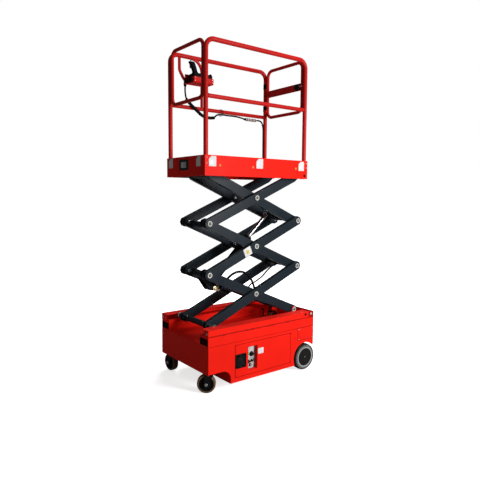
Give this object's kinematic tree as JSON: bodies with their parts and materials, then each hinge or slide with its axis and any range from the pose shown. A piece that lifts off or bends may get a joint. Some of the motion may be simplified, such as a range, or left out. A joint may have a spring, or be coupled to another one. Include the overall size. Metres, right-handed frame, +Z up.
{
  "type": "scissor lift",
  "caption": "Compact electric scissor lift: wheeled chassis with service doors, stacked scissor arms with a lifting cylinder, and a railed work platform with gate and control box.",
  "frame": {"origin": "on the floor under the middle of the whole machine's bounding box, as parked", "axes": "+X towards the drive wheels and the gate, +Z up, -Y the side with the lower controls"},
  "size_m": [1.2192, 0.8182, 2.839],
  "materials": {
    "red_paint": "gloss red paint",
    "grey_paint": "satin dark grey paint",
    "black_paint": "satin black paint",
    "tyre_grey": "solid grey rubber",
    "tread_brown": "brown elastomer tread",
    "hub_black": "matte black",
    "pin_steel": "bright steel",
    "chrome_rod": "hard chrome",
    "roller_white": "white nylon",
    "black_plastic": "fine textured black",
    "hose_rubber": "matte black rubber",
    "battery_case": "moulded plastic",
    "control_plate": "satin"
  },
  "bodies": {
    "chassis": {"base_pan": "red_paint", "end_panels": "red_paint", "side_panel_near": "red_paint", "side_panel_far": "red_paint", "deck_floor": "red_paint", "side_rail_near": "red_paint", "side_rail_far": "red_paint", "pivot_brackets": "red_paint", "batteries": "battery_case", "power_unit": "black_plastic", "control_station": "control_plate", "drive_motors": "black_paint", "caster_mounts": "black_paint"},
    "door_near": {"door_near": "red_paint", "latch_near": "black_plastic"},
    "door_far": {"door_far": "red_paint", "latch_far": "black_plastic"},
    "drive_wheel_near": {"drive_tyre_near": "tyre_grey", "drive_hub_near": "hub_black"},
    "drive_wheel_far": {"drive_tyre_far": "tyre_grey", "drive_hub_far": "hub_black"},
    "caster_swivel_near": {"caster_fork_near": "black_paint"},
    "caster_swivel_far": {"caster_fork_far": "black_paint"},
    "caster_wheel_near": {"caster_tread_near": "tread_brown", "caster_hub_near": "hub_black"},
    "caster_wheel_far": {"caster_tread_far": "tread_brown", "caster_hub_far": "hub_black"},
    "inner_stage_1": {"inner_arms_1": "grey_paint", "inner_ties_1": "grey_paint", "inner_pins_1": "pin_steel", "hose_loop": "hose_rubber"},
    "outer_stage_1": {"outer_arms_1": "grey_paint", "outer_tie_1": "grey_paint", "outer_pins_1": "pin_steel", "lower_rollers": "roller_white", "hose_link": "hose_rubber"},
    "inner_stage_2": {"inner_arms_2": "grey_paint", "inner_ties_2": "grey_paint", "inner_pins_2": "pin_steel"},
    "outer_stage_2": {"outer_arms_2": "grey_paint", "outer_pins_2": "pin_steel"},
    "inner_stage_3": {"inner_arms_3": "grey_paint", "inner_ties_3": "grey_paint", "upper_rollers": "roller_white"},
    "outer_stage_3": {"outer_arms_3": "grey_paint", "outer_pins_3": "pin_steel"},
    "cylinder_barrel": {"cylinder_barrel": "black_paint"},
    "cylinder_rod": {"cylinder_rod": "chrome_rod"},
    "platform": {"platform_tray": "red_paint", "platform_floor": "red_paint", "platform_underframe": "red_paint", "guard_rail_near": "red_paint", "guard_rail_far": "red_paint", "end_loop": "red_paint", "control_stand": "red_paint", "control_box": "red_paint", "joystick": "black_plastic", "control_cable": "hose_rubber"},
    "gate": {"gate": "red_paint", "gate_latch": "black_paint"}
  },
  "joints": [
    {"name": "door_near_hinge", "type": "hinge", "parent": "chassis", "child": "door_near", "pos_m": [0.3056, -0.40107, 0.24], "axis": [0, 0, 1], "range_deg": [0, 110]},
    {"name": "door_far_hinge", "type": "hinge", "parent": "chassis", "child": "door_far", "pos_m": [0.3056, 0.35893, 0.24], "axis": [0, 0, 1], "range_deg": [-110, 0]},
    {"name": "drive_wheel_near_axle", "type": "hinge", "parent": "chassis", "child": "drive_wheel_near", "pos_m": [0.4866, -0.36907, 0.123], "axis": [0, 1, 0], "continuous": true},
    {"name": "drive_wheel_far_axle", "type": "hinge", "parent": "chassis", "child": "drive_wheel_far", "pos_m": [0.4866, 0.32693, 0.123], "axis": [0, 1, 0], "continuous": true},
    {"name": "caster_near_swivel", "type": "hinge", "parent": "chassis", "child": "caster_swivel_near", "pos_m": [-0.5004, -0.32807, 0.176], "axis": [0, 0, 1], "continuous": true},
    {"name": "caster_near_axle", "type": "hinge", "parent": "caster_swivel_near", "child": "caster_wheel_near", "pos_m": [-0.5361, -0.30067, 0.077], "axis": [-0.6088, -0.7934, 0], "continuous": true},
    {"name": "caster_far_swivel", "type": "hinge", "parent": "chassis", "child": "caster_swivel_far", "pos_m": [-0.5004, 0.28593, 0.176], "axis": [0, 0, 1], "continuous": true},
    {"name": "caster_far_axle", "type": "hinge", "parent": "caster_swivel_far", "child": "caster_wheel_far", "pos_m": [-0.50433, 0.33076, 0.077], "axis": [-0.9962, -0.0872, 0], "continuous": true},
    {"name": "lift", "type": "hinge", "parent": "chassis", "child": "inner_stage_1", "pos_m": [0.5416, -0.02107, 0.524], "axis": [0, 1, 0], "range_deg": [-18.42, 25.05]},
    {"name": "cross_1", "type": "hinge", "parent": "inner_stage_1", "child": "outer_stage_1", "pos_m": [0.04385, -0.02107, 0.73723], "axis": [0, 1, 0], "range_deg": [-50.2, 36.94]},
    {"name": "link_2", "type": "hinge", "parent": "outer_stage_1", "child": "inner_stage_2", "pos_m": [0.5416, -0.02107, 0.95047], "axis": [0, 1, 0], "range_deg": [-36.94, 50.2], "deforming": ["hose_link"]},
    {"name": "cross_2", "type": "hinge", "parent": "inner_stage_2", "child": "outer_stage_2", "pos_m": [0.04385, -0.02107, 1.1637], "axis": [0, 1, 0], "range_deg": [-50.2, 36.94]},
    {"name": "link_3", "type": "hinge", "parent": "outer_stage_2", "child": "inner_stage_3", "pos_m": [0.5416, -0.02107, 1.37693], "axis": [0, 1, 0], "range_deg": [-36.94, 50.2]},
    {"name": "cross_3", "type": "hinge", "parent": "inner_stage_3", "child": "outer_stage_3", "pos_m": [0.04385, -0.02107, 1.59016], "axis": [0, 1, 0], "range_deg": [-50.2, 36.94]},
    {"name": "platform_pivot", "type": "hinge", "parent": "outer_stage_3", "child": "platform", "pos_m": [0.5416, -0.02107, 1.8034], "axis": [0, 1, 0], "range_deg": [-18.52, 25.15]},
    {"name": "cylinder_base_pin", "type": "hinge", "parent": "inner_stage_1", "child": "cylinder_barrel", "pos_m": [-0.3294, -0.02107, 0.81445], "axis": [0, 1, 0], "range_deg": [-52.2, 38.41]},
    {"name": "cylinder_stroke", "type": "slide", "parent": "cylinder_barrel", "child": "cylinder_rod", "axis": [0.7252, 0, 0.6885], "range_m": [-0.20947, 0.28468]},
    {"name": "gate_hinge", "type": "hinge", "parent": "platform", "child": "gate", "pos_m": [0.5123, 0.23593, 2.602], "axis": [0, 0, 1], "range_deg": [-90, 0]}
  ],
  "couplings": [
    {"joint": "cross_1", "follows": "lift", "ratio": -2},
    {"joint": "link_2", "follows": "lift", "ratio": 2},
    {"joint": "cross_2", "follows": "lift", "ratio": -2},
    {"joint": "link_3", "follows": "lift", "ratio": 2},
    {"joint": "cross_3", "follows": "lift", "ratio": -2},
    {"joint": "platform_pivot", "follows": "lift", "ratio": 1},
    {"joint": "cylinder_base_pin", "follows": "lift", "ratio": -2.08},
    {"joint": "cylinder_stroke", "follows": "lift", "m_per_rad": 0.65}
  ]
}
